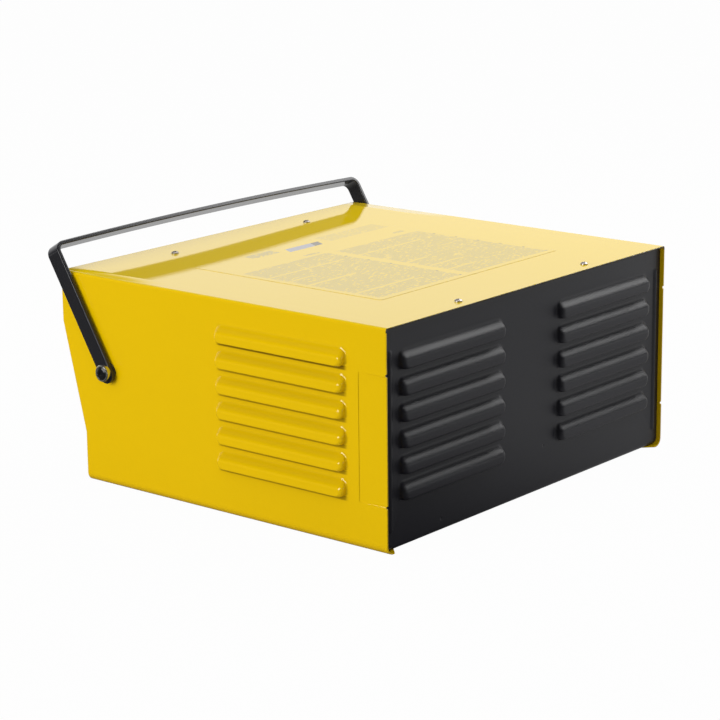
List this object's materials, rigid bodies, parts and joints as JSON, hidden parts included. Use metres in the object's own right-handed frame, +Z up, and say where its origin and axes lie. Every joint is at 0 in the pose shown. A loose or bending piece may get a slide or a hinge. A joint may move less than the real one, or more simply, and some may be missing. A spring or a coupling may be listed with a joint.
{
  "type": "battery charger",
  "caption": "Bench battery charger with jump start: folded steel cover over a louvred chassis, bail handle, meter, selector and rockers.",
  "frame": {"origin": "bottom centre of the case, on the surface it rests on, midway between the flanges and midway along the cover", "axes": "+Z up, -Y towards the front with the controls, +Y towards the louvred rear panel, X across the case along the crossbar of the handle"},
  "size_m": [0.4506, 0.4061, 0.2279],
  "materials": {
    "yellow_paint": "gloss",
    "black_paint": "satin",
    "bar_black": "satin",
    "zinc": "bright zinc plate",
    "black_plastic": "gloss",
    "dark_plastic": "matte",
    "nylon": "matte",
    "label_film": "gloss film",
    "overlay_film": "fine grain",
    "grey_metal": "dull",
    "dial_white": "matte",
    "needle_red": "satin",
    "clear_lens": "clear",
    "rocker_red": "gloss",
    "bright_trim": "bright",
    "amber_lens": "clear tint",
    "green_lens": "clear tint",
    "black_rubber": "matte",
    "lamination": "varnished",
    "cream_plastic": "matte",
    "enamel_dark": "enamelled wire",
    "enamel_copper": "enamelled wire",
    "bare_aluminium": "extruded",
    "brass_metal": "plain",
    "bakelite": "moulded",
    "board_green": "solder mask",
    "relay_blue": "gloss",
    "sleeve_blue": "sleeve",
    "lead_red": "insulation",
    "lead_blue": "insulation"
  },
  "bodies": {
    "case": {"cover": "yellow_paint", "chassis": "black_paint", "pivot_bolts": "zinc", "pivot_caps": "black_plastic", "pivot_bushes": "nylon", "pivot_washers": "zinc", "pivot_nuts": "zinc", "cover_screws": "zinc", "top_label": "label_film", "front_overlay": "overlay_film", "meter_case": "black_plastic", "meter_movement": "grey_metal", "meter_dial": "dial_white", "meter_lens": "clear_lens", "selector_switch": "dark_plastic", "selector_nut": "zinc", "rocker_frames": "dark_plastic", "lamp_bodies": "bright_trim", "lens_mains": "amber_lens", "lens_charge": "green_lens", "breaker_body": "dark_plastic", "breaker_nut": "zinc", "mains_gland": "dark_plastic", "gland_nut": "dark_plastic", "lead_grommets": "black_rubber", "core": "lamination", "core_feet": "zinc", "core_bolts": "zinc", "core_nuts": "zinc", "bobbin": "cream_plastic", "primary_winding": "enamel_dark", "secondary_winding": "enamel_copper", "thermal_switch": "bright_trim", "heat_sink": "bare_aluminium", "sink_spacers": "nylon", "sink_screws": "zinc", "diodes": "brass_metal", "relay_can": "bright_trim", "relay_cap": "bakelite", "relay_studs": "brass_metal", "terminal_block": "cream_plastic", "terminal_screws": "brass_metal", "control_board": "board_green", "board_posts": "brass_metal", "board_screws": "zinc", "board_relays": "relay_blue", "board_capacitors": "sleeve_blue", "secondary_leads": "lead_red", "primary_leads": "lead_blue", "floor_screws": "zinc"},
    "bail": {"handle": "bar_black"},
    "needle": {"meter_needle": "needle_red"},
    "selector": {"selector_knob": "black_plastic"},
    "mains_rocker": {"rocker_mains": "rocker_red"},
    "volts_rocker": {"rocker_volts": "black_plastic"},
    "reset_button": {"breaker_button": "rocker_red"}
  },
  "joints": [
    {"name": "handle_swing", "type": "hinge", "parent": "case", "child": "bail", "pos_m": [0, -0.1354, 0.1114], "axis": [1, 0, 0], "range_deg": [-72, 112]},
    {"name": "needle_turn", "type": "hinge", "parent": "case", "child": "needle", "pos_m": [-0.118, -0.168, 0.104], "axis": [0, 1, 0], "range_deg": [0, 88], "stiffness_Nm_per_rad": 0.001, "springref_deg": -17.19},
    {"name": "selector_turn", "type": "hinge", "parent": "case", "child": "selector", "pos_m": [0.008, -0.168, 0.118], "axis": [0, -1, 0], "range_deg": [-60, 60]},
    {"name": "mains_rock", "type": "hinge", "parent": "case", "child": "mains_rocker", "pos_m": [0.096, -0.1665, 0.11], "axis": [-1, 0, 0], "range_deg": [0, 18]},
    {"name": "volts_rock", "type": "hinge", "parent": "case", "child": "volts_rocker", "pos_m": [0.144, -0.1665, 0.11], "axis": [-1, 0, 0], "range_deg": [0, 18]},
    {"name": "reset_slide", "type": "slide", "parent": "case", "child": "reset_button", "axis": [0, -1, 0], "range_m": [0, 0.003]}
  ]
}
